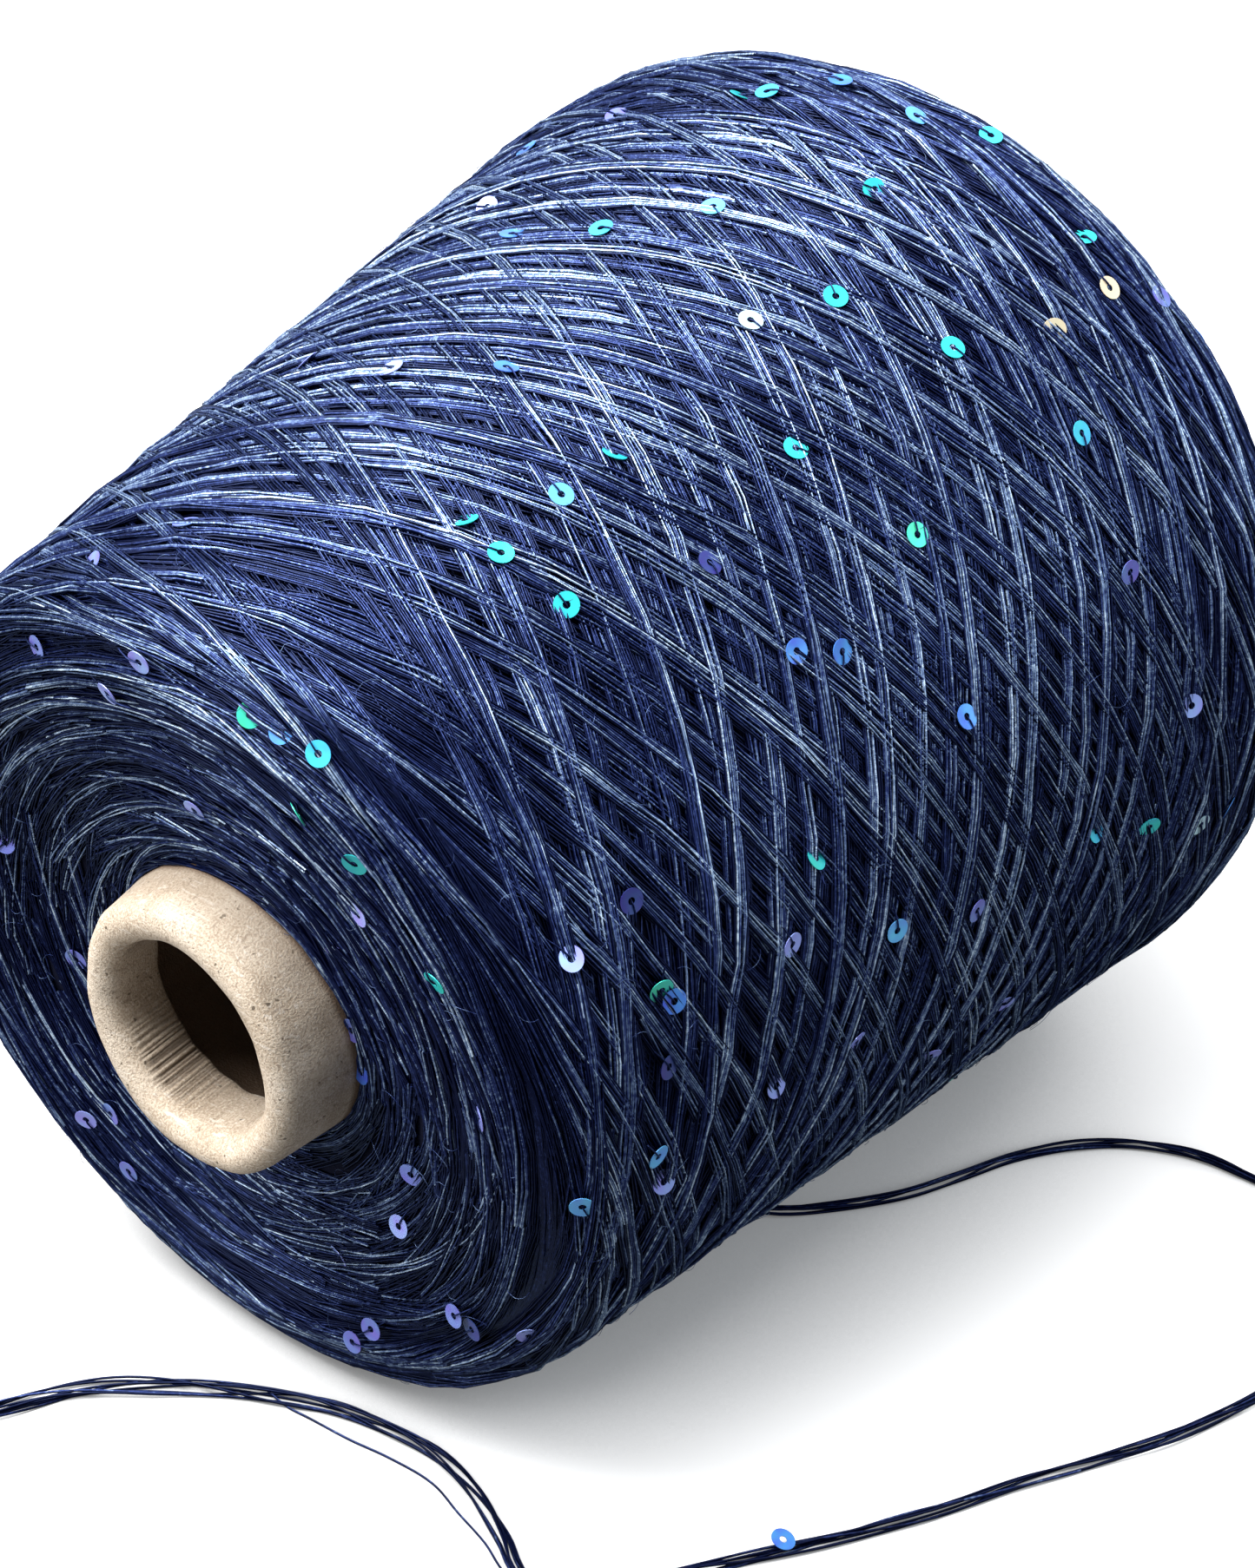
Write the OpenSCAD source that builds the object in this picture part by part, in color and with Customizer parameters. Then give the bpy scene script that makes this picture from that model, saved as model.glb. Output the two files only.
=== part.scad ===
// Cone of knitting yarn with sequins, lying on its side with a loose tail.
// +Z is up and the package rests on z = 0. The cone's nose points to -X and dips by the cone's own
// angle, so that the package's side lies flat along X. The origin is under the middle of the cone.

/* [Paper cone] */
// Outer diameter of the rolled nose
nose_d = 35; // [30:0.5:44]
// Length of the cone from the nose tip to the base rim
cone_len = 160; // [152:1:210]
// Angle between the cone's side and its axis, in degrees
cone_angle = 5.95; // [4:0.05:7]
// Thickness of the board
board = 2; // [1.2:0.1:2.3]
// Radius of the roll at the nose rim
roll_r = 2.5; // [2.3:0.1:3.6]
// Depth of the turned-in flange, from the nose tip
flange_depth = 9; // [7:0.5:14]

/* [Yarn package] */
// Diameter of the package at its small end
small_d = 110; // [96:1:160]
// Distance from the nose tip to the package's front
yarn_front = 6; // [4:0.5:12]
// Length of the package along the cone
yarn_len = 138; // [120:1:146]
// How far the front face sinks in where it meets the cone
front_dish = 4; // [1:0.5:6]
// Length of the small end's rounded shoulder
front_round_len = 5; // [4:0.5:12]
// Drop of the small end's rounded shoulder
front_round_drop = 10; // [6:0.5:14]
// Length of the big end's rounded shoulder
base_round_len = 26; // [16:1:32]
// Drop of the big end's rounded shoulder
base_round_drop = 22; // [12:1:26]
// Gap between the yarn and the cone
cone_gap = 0.2; // [0.1:0.05:0.5]

/* [Outer winding] */
// Thickness of the yarn
yarn_d = 1.7; // [1.2:0.1:2]
// Gap between the turns where they cross
turn_gap = 0.5; // [0.45:0.05:0.8]
// Gap between the inner turns and the layers under them
layer_gap = 0.7; // [0.6:0.05:0.9]
// Distance from the package's front to where the turns reverse
front_turn = 3.5; // [3.5:0.5:12]
// Distance from the package's back to where the turns reverse
base_turn = 7; // [7:0.5:20]

/* [Sequins] */
// Diameter of a sequin
sequin_d = 3; // [2:0.1:4]
// Diameter of a sequin's hole
sequin_hole = 0.9; // [0.6:0.1:1.2]
// Thickness of a sequin
sequin_t = 0.2; // [0.15:0.05:0.4]
// Gap between a sequin and the yarn that it lies on
sequin_gap = 0.2; // [0.1:0.05:0.4]
// Sequins on each outer crossing of the package
sequins_per_run = 3; // [1:1:3]
// Sequins on the package's front face
front_sequins = 14; // [4:1:20]
// Sequins on the package's back face
back_sequins = 8; // [3:1:12]

/* [Hidden] */

NAVY = [0.10, 0.13, 0.28];
NAVY_CORE = [0.06, 0.08, 0.18];
BOARD_GREY = [0.72, 0.66, 0.58];
SEQUIN_BLUE = [0.35, 0.75, 0.90];
SEQUIN_LILAC = [0.58, 0.60, 0.92];

// The cone, as radius and distance along the axis from the nose tip
slope = tan(cone_angle);
nose_r = nose_d / 2;
throat_r = nose_r - 2 * roll_r;
function cone_r(z) = nose_r + (z - roll_r) * slope;

// The package's outside
back = yarn_front + yarn_len;
front_round_end = yarn_front + front_round_len;
base_round_start = back - base_round_len;
function side_r(z) = small_d / 2 + (z - yarn_front) * slope;
function drop(reach, depth, u) = depth * (1 - sqrt(max(0, 1 - pow(min(1, max(0, u / reach)), 2))));
function package_r(z) = side_r(z) - drop(front_round_len, front_round_drop, front_round_end - z)
    - drop(base_round_len, base_round_drop, z - base_round_start);

// The whole cone is laid down: its axis rises to the base by the cone's angle
base_r = cone_r(cone_len);
x_low = cos(cone_angle) * roll_r - sin(cone_angle) * (nose_r - roll_r) - roll_r;
x_high = cos(cone_angle) * cone_len + sin(cone_angle) * base_r;
tip_x = -(x_low + x_high) / 2;
tip_z = side_r(0) * cos(cone_angle);
// From the cone's own x, y and axis to the part's frame; the cone's x points down
function laid(p) = [tip_x + cos(cone_angle) * p.z + sin(cone_angle) * p.x, p.y,
                    tip_z + sin(cone_angle) * p.z - cos(cone_angle) * p.x];
module lay() translate([tip_x, 0, tip_z]) rotate([0, 90 - cone_angle, 0]) children();

// Layers of the outer winding, as depths below the package's outside
flat_r = yarn_d / 2 * cos(30);
flat_cut = yarn_d / 10;
outer_depth = flat_r - flat_cut;
inner_depth = outer_depth + yarn_d + turn_gap;
core_inset = inner_depth + flat_r + layer_gap;

// The winding goes round 19/24 of a turn on each run along the package, with 24 rings in a turn.
// Twelve runs out, in the outer layer, cross twelve runs back, in the inner layer, at the rings.
RINGS = 24;
RUN = 19;
RUNS_OUT = 12;
SIDES = 6;
// The winding starts and ends on this ring of a run, under the package
END_RING = 7;
step = 360 / RINGS;
first = END_RING + 1;
last = 2 * RUNS_OUT * RUN + END_RING;
// The path that the turns follow along the package, and its length up to each point
run_from = yarn_front + front_turn;
run_to = back - base_turn;
PATH_STEPS = 48;
path_z = [for (i = [0:PATH_STEPS]) run_from + (run_to - run_from) * i / PATH_STEPS];
path_p = [for (z = path_z) [package_r(z), z]];
function lengths(i = 1, s = [0]) = i > PATH_STEPS ? s
    : lengths(i + 1, concat(s, [s[i - 1] + norm(path_p[i] - path_p[i - 1])]));
path_s = lengths();
path_len = path_s[PATH_STEPS];
s_to_z = [for (i = [0:PATH_STEPS]) [path_s[i], path_z[i]]];
function unit(v) = v / norm(v);
// Outward normal of the package's side at a distance along the axis, as radius and axis
function side_normal(z) = let (d = package_r(z + 0.05) - package_r(z - 0.05)) unit([0.1, -d]);

function run_place(j) = let (q = j % (2 * RUN)) q <= RUN ? q : 2 * RUN - q;
function run_depth(j) = let (q = j % (2 * RUN))
    q % RUN == 0 ? (outer_depth + inner_depth) / 2 : q < RUN ? outer_depth : inner_depth;
function ring_angle(j) = -step / 2 + step * (last - j);
// Centre of ring j, and its outward normal, in the cone's own frame
function ring_polar(j, depth) = let (z = lookup(path_len * run_place(j) / RUN, s_to_z),
    n = side_normal(z)) [(package_r(z) - n[0] * depth) / cos(step / 2), z - n[1] * depth];
function ring_at(j) = let (p = ring_polar(j, run_depth(j)), a = ring_angle(j))
    [p[0] * cos(a), p[0] * sin(a), p[1]];
function ring_normal(j) = let (z = lookup(path_len * run_place(j) / RUN, s_to_z),
    n = side_normal(z), a = ring_angle(j)) [n[0] * cos(a), n[0] * sin(a), n[1]];
turns = [for (j = [first:last]) ring_at(j)];
turn_normals = [for (j = [first:last]) ring_normal(j)];
TURNS = len(turns);

// A tube through points, with a normal at each that sets where its flats face
function along(p, i) = let (n = len(p)) i == 0 ? unit(p[1] - p[0]) : i == n - 1
    ? unit(p[i] - p[i - 1]) : unit(unit(p[i] - p[i - 1]) + unit(p[i + 1] - p[i]));
function ring(p, normals, i, r, sides) = let (
    t = along(p, i),
    mitre = i == 0 ? 1 : 1 / (t * unit(p[i] - p[i - 1])),
    side = unit(cross(t, normals[i])),
    up = cross(side, t))
    [for (k = [0:sides - 1]) let (a = (k + 0.5) * 360 / sides)
        p[i] + r * (cos(a) * up + mitre * sin(a) * side)];
function tube_faces(n, sides) = concat(
    [for (i = [0:n - 2], k = [0:sides - 1]) let (a = i * sides + k, b = i * sides + (k + 1) % sides)
        [a, b, b + sides]],
    [for (i = [0:n - 2], k = [0:sides - 1]) let (a = i * sides + k, b = i * sides + (k + 1) % sides)
        [a, b + sides, a + sides]],
    [for (k = [1:sides - 2]) [0, k + 1, k]],
    [for (k = [1:sides - 2]) let (e = (n - 1) * sides) [e, e + k, e + k + 1]]);
function tube_points(p, normals, r, sides) =
    [for (i = [0:len(p) - 1]) each ring(p, normals, i, r, sides)];

// The least gap of the winding to itself: two rings apart and more, where the turns cross
self_gap = min([for (a = [0:TURNS - 4]) min([for (b = [a + 3:TURNS - 1])
    norm(turns[a] - turns[b])])]) - yarn_d;
echo(str("Least gap of the winding to itself: ", self_gap, " mm"));
echo(str("Loops in the winding: ", (TURNS - 1) / RINGS));

// The loose tail lies on the surface, from the winding's end under the package
tail_z = yarn_d / 2;
tail_start = let (e = laid(turns[TURNS - 1])) [e.x, e.y];
tail_route = [[-14.5, -15], [-12, -22.5], [-8.5, -30.5], [-3, -36], [4.5, -41.5], [12.5, -45],
    [21, -48.5], [28, -53], [33, -58.5], [36, -65], [37, -74], [36, -83], [32, -91], [24, -97],
    [13, -99], [2, -98], [-5, -96], [-12, -93.5], [-20, -89.5], [-29, -84.5], [-37, -81], [-44, -77.5],
    [-51, -73.5], [-58, -69], [-65.5, -64], [-72, -59.5], [-77, -56], [-79.5, -52.5], [-78.5, -48.5],
    [-75.5, -43.5], [-73, -38.5], [-71, -33], [-70, -27], [-70.5, -20.5], [-72, -13.5], [-75, -6.5],
    [-79, 0.5], [-83, 6], [-87.5, 11], [-93, 15], [-99, 18], [-106, 20.5]];
tail_flat = concat([tail_start], tail_route);
tail = [for (p = tail_flat) [p.x, p.y, tail_z]];
// Middle of each stretch, on a smooth curve through its ends
function between(p, i) = let (a = p[max(i - 1, 0)], b = p[i], c = p[i + 1], d = p[min(i + 2, len(p) - 1)])
    (9 * (b + c) - a - d) / 16;
TAIL_WHOLE = 6;
tail_rings = [for (i = [0:len(tail) - 1]) each i < TAIL_WHOLE || i == len(tail) - 1
    ? [tail[i]] : [tail[i], between(tail, i)]];
tail_normals = [for (p = tail_rings) [0, 0, 1]];
// The stretch of the tail that carries a sequin
TAIL_SEQUIN_AT = 24;

// The front face, where it shows round the cone
face_in = cone_r(yarn_front + front_dish) + cone_gap;
face_out = package_r(yarn_front) - core_inset;
function front_z(r) = yarn_front + front_dish * (face_out - r) / (face_out - face_in);
CORE_STEPS = 12;
core_outline = concat(
    [[face_in, yarn_front + front_dish]],
    [for (i = [0:CORE_STEPS]) let (z = yarn_front + front_round_len * (1 - cos(90 * i / CORE_STEPS)))
        [package_r(z) - core_inset, z]],
    [for (i = [0:CORE_STEPS]) let (z = base_round_start + base_round_len * sin(90 * i / CORE_STEPS))
        [package_r(z) - core_inset, z]],
    [[cone_r(back) + cone_gap, back]]);

ROLL_STEPS = 16;
cone_outline = concat(
    [[base_r, cone_len]],
    [for (i = [0:ROLL_STEPS]) let (a = 180 * i / ROLL_STEPS)
        [nose_r - roll_r + roll_r * cos(a), roll_r - roll_r * sin(a)]],
    [[throat_r, flange_depth], [throat_r + board, flange_depth], [throat_r + board, roll_r],
     [cone_r(roll_r) - board, roll_r], [base_r - board, cone_len]]);

// Paper cone with its nose rolled in, which leaves a round throat
module paper_cone() color(BOARD_GREY) lay() rotate_extrude($fn = 96) polygon(cone_outline);

// The layers of yarn under the outer one, wound close round the cone
module yarn_core() color(NAVY_CORE) lay() rotate_extrude($fn = 96) polygon(core_outline);

// The outer layer: one strand, pressed flat where the package rests on it
module yarn_winding() color(NAVY)
    polyhedron([for (p = tube_points(turns, turn_normals, yarn_d / 2, SIDES))
        let (w = laid(p)) [w.x, w.y, max(0, w.z)]], tube_faces(TURNS, SIDES));

module sequin() difference() {
    cylinder(d = sequin_d, h = sequin_t, $fn = 48);
    translate([0, 0, -sequin_t]) cylinder(d = sequin_hole, h = 3 * sequin_t, $fn = 48);
}

// A sequin with its underside at a point and its face along a normal
module sequin_at(p, n) translate(p + n * sequin_gap)
    rotate([0, acos(n.z), atan2(n.y, n.x)]) sequin();

// Ring of an outer run that its sequin number k follows, spread along each third of the run
GOLDEN = (sqrt(5) - 1) / 2;
function share(k) = GOLDEN * k - floor(GOLDEN * k);
SEQUIN_STEP = 6;
function sequin_ring(run, k) = 2 * RUN * run + SEQUIN_STEP * k + floor(SEQUIN_STEP * share(run + 5 * k));
// How far a sequin's face may turn down, so that none lies between the package and the surface
face_down_angle = 17;

// Sequins threaded on the outer runs, on the middle of a stretch between two rings
module sequins_side() color(SEQUIN_BLUE) lay()
    for (run = [0:RUNS_OUT - 1], k = [0:sequins_per_run - 1]) {
        j = sequin_ring(run, k);
        n = unit(ring_normal(j) + ring_normal(j + 1));
        middle = (ring_at(j) + ring_at(j + 1)) / 2;
        if (j >= first && n.x < sin(face_down_angle)) sequin_at(middle + n * flat_r, n);
    }

// Sequins on a face are spread by the golden ratio and the golden angle
GOLDEN_ANGLE = 360 * (1 - GOLDEN);
function spread_r(k, from, to) = from + (to - from) * share(k);

module sequins_front() color(SEQUIN_LILAC) lay() {
    from = face_in + sequin_d;
    to = face_out - sequin_d;
    tilt = atan((front_z(from) - front_z(to)) / (to - from));
    for (k = [0:front_sequins - 1]) {
        r = spread_r(k, from, to);
        rotate(GOLDEN_ANGLE * k) sequin_at([r, 0, front_z(r)], [-sin(tilt), 0, -cos(tilt)]);
    }
}

module sequins_back() color(SEQUIN_BLUE) lay() {
    from = cone_r(back) + cone_gap + sequin_d;
    to = package_r(back) - core_inset - sequin_d;
    for (k = [0:back_sequins - 1])
        rotate(GOLDEN_ANGLE * k) sequin_at([spread_r(k, from, to), 0, back], [0, 0, 1]);
}

// Loose end of the yarn on the surface, in one plain tube
module yarn_tail() color(NAVY)
    polyhedron(tube_points(tail_rings, tail_normals, yarn_d / 2, 8), tube_faces(len(tail_rings), 8));

module tail_sequin() color(SEQUIN_BLUE)
    sequin_at((tail[TAIL_SEQUIN_AT] + tail[TAIL_SEQUIN_AT + 1]) / 2 + [0, 0, yarn_d / 2], [0, 0, 1]);

paper_cone();
yarn_core();
yarn_winding();
sequins_side();
sequins_front();
sequins_back();
yarn_tail();
tail_sequin();
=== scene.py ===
"""Cone of navy knitting yarn with sequins, on a paper cone, lying on its side with a loose tail."""

import math

import bpy
import numpy as np
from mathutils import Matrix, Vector


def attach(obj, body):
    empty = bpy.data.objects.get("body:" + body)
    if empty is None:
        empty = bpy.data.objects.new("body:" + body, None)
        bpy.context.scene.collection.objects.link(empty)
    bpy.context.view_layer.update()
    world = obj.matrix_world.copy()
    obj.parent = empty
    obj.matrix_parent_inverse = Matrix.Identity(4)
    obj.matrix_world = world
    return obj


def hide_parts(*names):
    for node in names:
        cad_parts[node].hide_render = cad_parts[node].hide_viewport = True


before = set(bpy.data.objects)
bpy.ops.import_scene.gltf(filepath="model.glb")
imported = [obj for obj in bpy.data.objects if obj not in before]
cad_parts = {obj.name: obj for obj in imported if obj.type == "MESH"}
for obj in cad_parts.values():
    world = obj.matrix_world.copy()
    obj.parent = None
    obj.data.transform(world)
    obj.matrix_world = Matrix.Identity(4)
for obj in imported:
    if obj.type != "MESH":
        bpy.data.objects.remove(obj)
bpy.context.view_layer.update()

# ---------------------------------------------------------------------------------------------
# Viewpoint: a long lens close above the nose end, looking down along the package.
# ---------------------------------------------------------------------------------------------
viewpoint = bpy.data.objects.new("viewpoint", bpy.data.cameras.new("viewpoint"))
bpy.context.scene.collection.objects.link(viewpoint)
viewpoint.location = (-0.3389, -0.2844, 0.3438)
viewpoint.rotation_euler = Vector((0.6367, 0.5359, -0.5544)).to_track_quat("-Z", "Y").to_euler()
viewpoint.data.lens = 95.68
viewpoint.data.clip_start = 0.01
bpy.context.scene.camera = viewpoint

# ---------------------------------------------------------------------------------------------
# Loose tail: the yarn's free end, eight fine satin threads that are laid beside each other and
# hardly twisted, so that they part and cross as they lie on the table. One sequin is on it.
# ---------------------------------------------------------------------------------------------
# The route is in millimetres, the sizes are in metres
TAIL_ROUTE = [(-17.8, -7.9), (-14.5, -15), (-12, -22.5), (-8.5, -30.5), (-3, -36), (4.5, -41.5),
              (12.5, -45), (21, -48.5), (28, -53), (33, -58.5), (36, -65), (37, -74), (36, -83), (32, -91),
              (24, -97), (13, -99), (2, -98), (-5, -96), (-12, -93.5), (-20, -89.5), (-29, -84.5),
              (-37, -81), (-44, -77.5), (-51, -73.5), (-58, -69), (-65.5, -64), (-72, -59.5), (-77, -56),
              (-79.5, -52.5), (-78.5, -48.5), (-75.5, -43.5), (-73, -38.5), (-71, -33), (-70, -27),
              (-70.5, -20.5), (-72, -13.5), (-75, -6.5), (-79, 0.5), (-83, 6), (-87.5, 11), (-93, 15),
              (-99, 18), (-106, 20.5)]
TAIL_THICKNESS = 0.0017
TAIL_STEP = 0.0015
THREADS = 8
THREAD_THICKNESS = 0.00033
TURNS_PER_METRE = 9
SPREAD = 0.0008
PARTED_AT = 0.305
MM = 0.001


def paths(name, lines, out, **fields):
    """A mesh of loose edges through each line's points, with an outward direction and values there."""
    points = np.concatenate(lines)
    counts = np.array([len(line) for line in lines])
    joins = np.ones(len(points), bool)
    joins[np.cumsum(counts) - 1] = False
    starts = np.nonzero(joins)[0]
    mesh = bpy.data.meshes.new(name)
    mesh.vertices.add(len(points))
    mesh.vertices.foreach_set("co", points.astype(np.float32).ravel())
    mesh.edges.add(len(starts))
    mesh.edges.foreach_set("vertices", np.stack([starts, starts + 1], 1).astype(np.int32).ravel())
    mesh.attributes.new("out", "FLOAT_VECTOR", "POINT").data.foreach_set(
        "vector", np.concatenate(out).astype(np.float32).ravel())
    for field, values in fields.items():
        mesh.attributes.new(field, "FLOAT", "POINT").data.foreach_set(
            "value", np.concatenate(values).astype(np.float32))
    return mesh


def tree_tools(tree):
    """For one node tree: functions that fill a node's sockets, add a node and add a calculation."""
    def fill(made, sockets):
        for socket, source in sockets.items():
            if isinstance(source, bpy.types.NodeSocket):
                tree.links.new(source, made.inputs[socket])
            else:
                made.inputs[socket].default_value = source

    def node(kind, sockets=(), **settings):
        made = tree.nodes.new(kind)
        for key, value in settings.items():
            setattr(made, key, value)
        fill(made, dict(sockets))
        return made.outputs

    def maths(operation, *values):
        return node("ShaderNodeMath", enumerate(values), operation=operation)[0]

    return fill, node, maths


def thread_tree(name, material):
    """Geometry Nodes: each path becomes a thin closed thread that wanders a little from it."""
    tree = bpy.data.node_groups.new(name, "GeometryNodeTree")
    sockets = tree.interface
    sockets.new_socket("Paths", in_out="INPUT", socket_type="NodeSocketGeometry")
    sockets.new_socket("Seed", in_out="INPUT", socket_type="NodeSocketInt").default_value = 1
    for label, value in (("Thread thickness", THREAD_THICKNESS), ("Wander", 0.0), ("Wander scale", 60.0)):
        sockets.new_socket(label, in_out="INPUT", socket_type="NodeSocketFloat").default_value = value
    sockets.new_socket("Threads", in_out="OUTPUT", socket_type="NodeSocketGeometry")
    _, node, maths = tree_tools(tree)

    def scaled(vector, factor):
        return node("ShaderNodeVectorMath", {0: vector, "Scale": factor}, operation="SCALE")[0]

    given = node("NodeGroupInput")
    out = node("GeometryNodeInputNamedAttribute", {"Name": "out"}, data_type="FLOAT_VECTOR")[0]
    along = node("GeometryNodeInputNamedAttribute", {"Name": "along"})[0]
    curves = node("GeometryNodeMeshToCurve", {"Mesh": given["Paths"]})[0]
    tangent = node("GeometryNodeInputTangent")[0]
    side = node("ShaderNodeVectorMath", {0: tangent, 1: out}, operation="CROSS_PRODUCT")[0]
    side = node("ShaderNodeVectorMath", {0: side}, operation="NORMALIZE")[0]
    place = node("ShaderNodeCombineXYZ", {0: along, 2: given["Seed"]})[0]
    noise = node("ShaderNodeTexNoise", {"Vector": place, "Scale": given["Wander scale"], "Detail": 1.0})[1]
    drift = node("ShaderNodeSeparateXYZ", {0: noise})
    across = maths("MULTIPLY", maths("SUBTRACT", drift[0], 0.5), given["Wander"])
    upward = maths("MULTIPLY", maths("SUBTRACT", drift[1], 0.5), given["Wander"])
    offset = node("ShaderNodeVectorMath", {0: scaled(side, across), 1: scaled(out, upward)},
                  operation="ADD")[0]
    curves = node("GeometryNodeSetPosition", {"Geometry": curves, "Offset": offset})[0]
    curves = node("GeometryNodeSetCurveNormal", {"Curve": curves, "Normal": out}, mode="FREE")[0]
    # Three sides are enough for so thin a thread, and 0.58 keeps its thickness
    round_shape = node("GeometryNodeCurvePrimitiveCircle",
                       {"Resolution": 3, "Radius": maths("MULTIPLY", given["Thread thickness"], 0.58)})[0]
    mesh = node("GeometryNodeCurveToMesh", {"Curve": curves, "Profile Curve": round_shape,
                                            "Fill Caps": True})[0]
    mesh = node("GeometryNodeSetShadeSmooth", {"Geometry": mesh})[0]
    mesh = node("GeometryNodeRealizeInstances", {"Geometry": mesh})[0]
    mesh = node("GeometryNodeSetMaterial", {"Geometry": mesh, "Material": material})[0]
    node("NodeGroupOutput", {0: mesh})
    return tree


def grown(name, mesh, tree, slot="yarn", **inputs):
    """What a Geometry Nodes tree makes of a mesh, as a plain piece that rides on the object."""
    seed = bpy.data.objects.new(name + "_seed", mesh)
    bpy.context.scene.collection.objects.link(seed)
    growth = seed.modifiers.new("growth", "NODES")
    growth.node_group = tree
    for item in tree.interface.items_tree:
        key = item.name.lower().replace(" ", "_")
        if item.in_out == "INPUT" and key in inputs:
            growth[item.identifier] = inputs[key]
    bpy.context.view_layer.update()
    plain = bpy.data.meshes.new_from_object(seed.evaluated_get(bpy.context.evaluated_depsgraph_get()))
    seed.modifiers.remove(growth)
    bpy.data.objects.remove(seed)
    piece = bpy.data.objects.new(name, plain)
    bpy.context.scene.collection.objects.link(piece)
    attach(piece, "root")
    return piece


def plain_material(name):
    """A new material, its Principled shader, and the tools of its node tree."""
    made = bpy.data.materials.new(name)
    made.use_nodes = True
    return made, made.node_tree.nodes["Principled BSDF"], *tree_tools(made.node_tree)


def ramp(node, value, *stops):
    """The colour of a value on a ramp through (position, colour) stops."""
    colour = node("ShaderNodeValToRGB", {"Fac": value})["Color"]
    made = colour.node.color_ramp.elements
    for place, (position, shown) in enumerate(stops):
        stop = made[place] if place < 2 else made.new(position)
        stop.position, stop.color = position, (*shown, 1)
    return colour


yarn, shader, fill, node, maths = plain_material("navy_satin_yarn")
shade = node("ShaderNodeAttribute", attribute_name="shade")["Fac"]
along = node("ShaderNodeAttribute", attribute_name="along")["Fac"]
# Dashes of light and dark along each thread, which start at another place on each: painted glints of the
# satin fibres over the dye
place_on_thread = maths("MULTIPLY_ADD", along, 200, maths("MULTIPLY", shade, 900))
dashes = node("ShaderNodeTexNoise", {"W": place_on_thread, "Scale": 1, "Detail": 2},
              noise_dimensions="1D")["Fac"]
fleck = node("ShaderNodeTexNoise", {"Vector": node("ShaderNodeTexCoord")["Object"], "Scale": 1700,
                                    "Detail": 2})["Fac"]
# The shade attribute carries each thread's own tone and the painted shade of deep threads and of run edges
lightness = maths("MULTIPLY_ADD", fleck, 0.5, maths("MULTIPLY_ADD", dashes, 0.4, shade))
# The ramp's palest stops are painted highlights: blue-white glints on the navy yarn
dye_and_painted_glints = ramp(node, maths("MULTIPLY", lightness, 0.5), (0.27, (0.001, 0.002, 0.022)),
           (0.38, (0.018, 0.030, 0.118)), (0.47, (0.145, 0.210, 0.34)), (0.57, (0.58, 0.71, 0.84)))
rough = node("ShaderNodeBump", {"Height": fleck, "Distance": 0.00005, "Strength": 0.35})["Normal"]
fill(shader, {"Base Color": dye_and_painted_glints, "Normal": rough, "Metallic": 0.5, "Roughness": 0.34,
              "Specular IOR Level": 0.3, "Specular Tint": (0.55, 0.75, 1.0, 1)})

threads = thread_tree("threads_along_paths", yarn)


def smooth_route(points, step):
    """A smooth line through points, in even steps, as numpy."""
    p = np.array(points, float)
    knots = np.concatenate([[0], np.cumsum(np.linalg.norm(np.diff(p, axis=0), axis=1))])
    fine = np.linspace(0, knots[-1], int(knots[-1] / step) + 1)
    tangents = np.gradient(p, knots, axis=0)
    i = np.clip(np.searchsorted(knots, fine, "right") - 1, 0, len(p) - 2)
    gap = knots[i + 1] - knots[i]
    u = ((fine - knots[i]) / gap)[:, None]
    gap = gap[:, None]
    return ((2 * u**3 - 3 * u**2 + 1) * p[i] + (u**3 - 2 * u**2 + u) * gap * tangents[i]
            + (-2 * u**3 + 3 * u**2) * p[i + 1] + (u**3 - u**2) * gap * tangents[i + 1])


tail_line = smooth_route([(x * MM, y * MM, TAIL_THICKNESS / 2) for x, y in TAIL_ROUTE], TAIL_STEP)
tail_along = np.arange(len(tail_line)) * TAIL_STEP
rng = np.random.default_rng(11)
tail_threads, tail_outs, tail_shades, tail_alongs = [], [], [], []
# The threads turn slowly round each other, flat on the table
tangent = np.gradient(tail_line, axis=0)
tangent /= np.linalg.norm(tangent, axis=1)[:, None]
sideways = np.stack([-tangent[:, 1], tangent[:, 0], 0 * tangent[:, 0]], 1)
for k in range(THREADS):
    unevenly = 0.35 * np.sin(tail_along * 45 + k * 2.1)
    turn = math.tau * (k / THREADS + TURNS_PER_METRE * tail_along + unevenly)
    reach = SPREAD * (0.9 + 0.3 * np.sin(tail_along * 38 + k * 1.3) * np.sin(tail_along * 17 + k))
    # The threads lie widest apart where one of them has come away
    reach *= 1 + 0.8 * np.exp(-((tail_along - PARTED_AT) / 0.02) ** 2)
    lift = TAIL_THICKNESS * 0.26 * (1 + np.sin(turn)) + 0.0002 - TAIL_THICKNESS / 2
    tail_threads.append(tail_line + sideways * (reach * np.cos(turn))[:, None] + [[0, 0, 1]] * lift[:, None])
    tail_outs.append(np.tile([0.0, 0, 1], (len(tail_line), 1)))
    tail_shades.append(np.full(len(tail_line), rng.uniform(-0.1, 0.3)))
    tail_alongs.append(tail_along)
loose_tail = grown("loose_tail", paths("loose_tail", tail_threads, tail_outs, shade=tail_shades,
                                       along=tail_alongs), threads, wander=0.0003, seed=3)
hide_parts("yarn_tail")

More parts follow.
